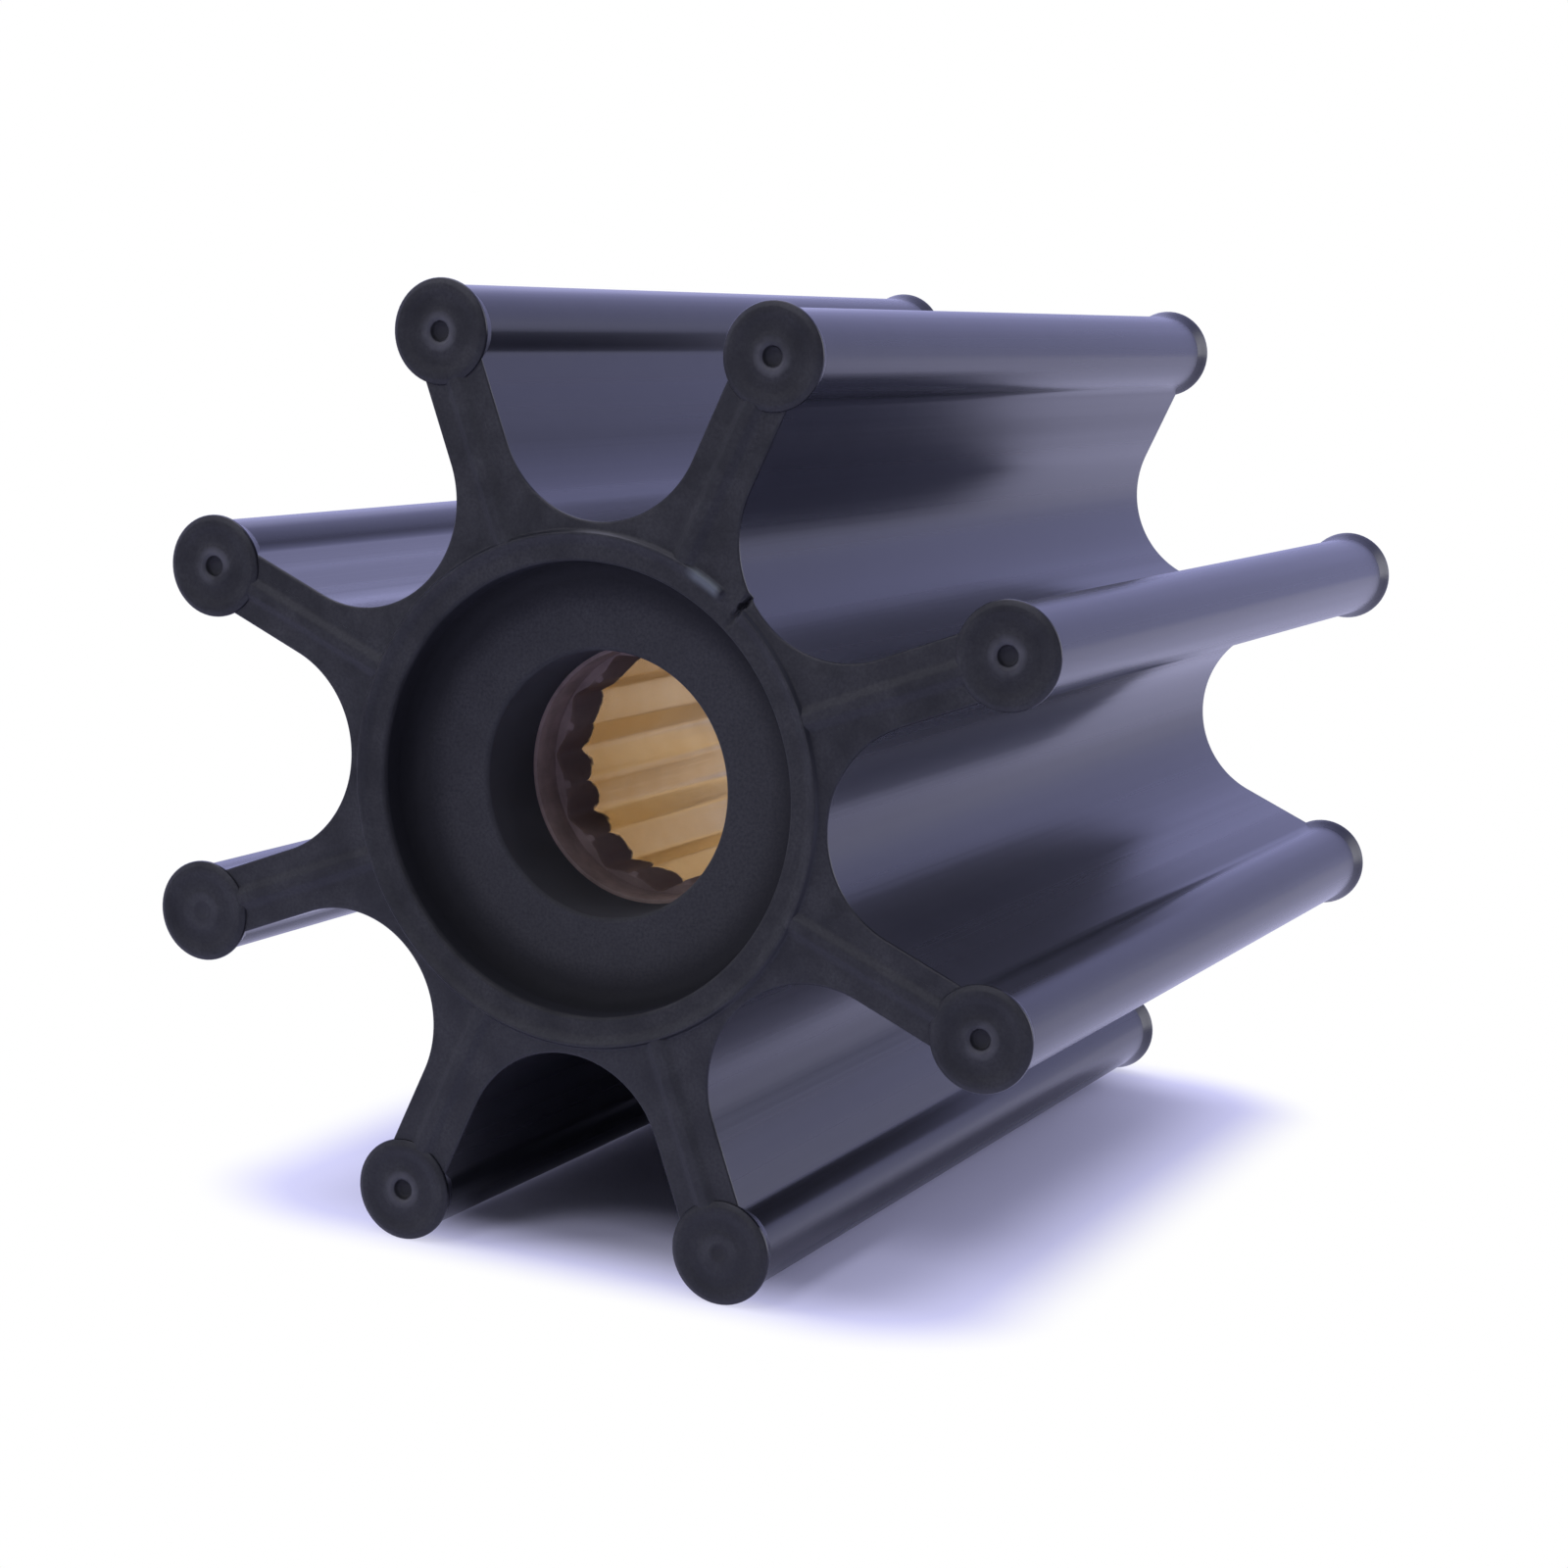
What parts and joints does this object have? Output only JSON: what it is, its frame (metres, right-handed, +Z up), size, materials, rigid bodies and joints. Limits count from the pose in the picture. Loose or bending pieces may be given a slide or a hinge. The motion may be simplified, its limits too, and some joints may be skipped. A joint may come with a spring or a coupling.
{
  "type": "pump impeller",
  "caption": "Black rubber flexible vane pump impeller with bulb-tipped vanes, end discs and a splined brass bush bonded in its hub.",
  "frame": {"origin": "on the impeller's axis at half its length", "axes": "+Y along the axis from the front end to the rear end, +Z up, +X to the right as seen from the front; the vanes lie halfway between the axes and their diagonals"},
  "size_m": [0.0606, 0.073, 0.0606],
  "materials": {
    "rubber": "satin moulded",
    "brass": "broached"
  },
  "bodies": {
    "root": {"rubber_body": "rubber", "splined_bush": "brass"}
  },
  "joints": []
}
